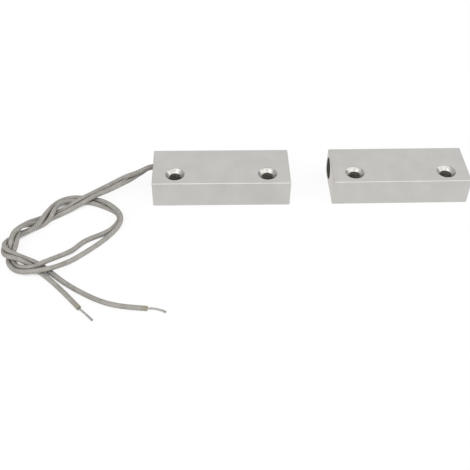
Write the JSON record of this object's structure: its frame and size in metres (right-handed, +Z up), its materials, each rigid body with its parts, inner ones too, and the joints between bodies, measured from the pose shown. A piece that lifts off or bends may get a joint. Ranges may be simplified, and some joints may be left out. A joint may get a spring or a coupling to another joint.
{
  "type": "magnetic reed switch",
  "caption": "Surface-mount reed contact: a wired switch half and its matching magnet half, both plain metal blocks with countersunk screw holes along one edge.",
  "frame": {"origin": "on the mounting plane, at the centre of the floor area that the two blocks cover, measured without the free wires", "axes": "+X along the pair from the wired end towards the magnet half, +Y from the screw-hole edge towards the back, +Z up out of the mounting plane"},
  "size_m": [0.1664, 0.0749, 0.0104],
  "materials": {
    "housing": "satin, lightly blasted and clear anodised",
    "potting": "black epoxy, poured",
    "liner": "natural nylon tube",
    "glass": "green-tinted sealing glass",
    "reed": "plated nickel-iron",
    "solder": "bright tin solder",
    "sleeve": "heat-shrink tube",
    "insulation": "warm grey soft PVC, strands showing faintly through",
    "conductor": "stranded tinned copper",
    "magnet": "ground cast magnet alloy"
  },
  "bodies": {
    "housing": {"switch_housing": "housing", "switch_potting": "potting", "insulating_liner": "liner", "reed_glass": "glass", "solder_near": "solder", "solder_far": "solder", "sleeve_near": "sleeve", "sleeve_far": "sleeve", "inner_lead_1": "insulation", "inner_lead_2": "insulation", "inner_core_1": "conductor", "inner_core_2": "conductor", "wire_1": "insulation", "wire_2": "insulation", "bare_end_1": "conductor", "bare_end_2": "conductor", "magnet_housing": "housing", "magnet_potting": "potting", "bar_magnet": "magnet"},
    "near_reed": {"reed_near": "reed"},
    "far_reed": {"reed_far": "reed"}
  },
  "joints": [
    {"name": "near_reed_flex", "type": "hinge", "parent": "housing", "child": "near_reed", "pos_m": [-0.03459, 0.00448, 0.0035], "axis": [0, -1, 0], "range_deg": [0, 0.74], "stiffness_Nm_per_rad": 0.02},
    {"name": "far_reed_flex", "type": "hinge", "parent": "housing", "child": "far_reed", "pos_m": [-0.02459, 0.00448, 0.0035], "axis": [0, -1, 0], "range_deg": [0, 0.74]}
  ],
  "couplings": [
    {"joint": "far_reed_flex", "follows": "near_reed_flex", "ratio": 1}
  ]
}
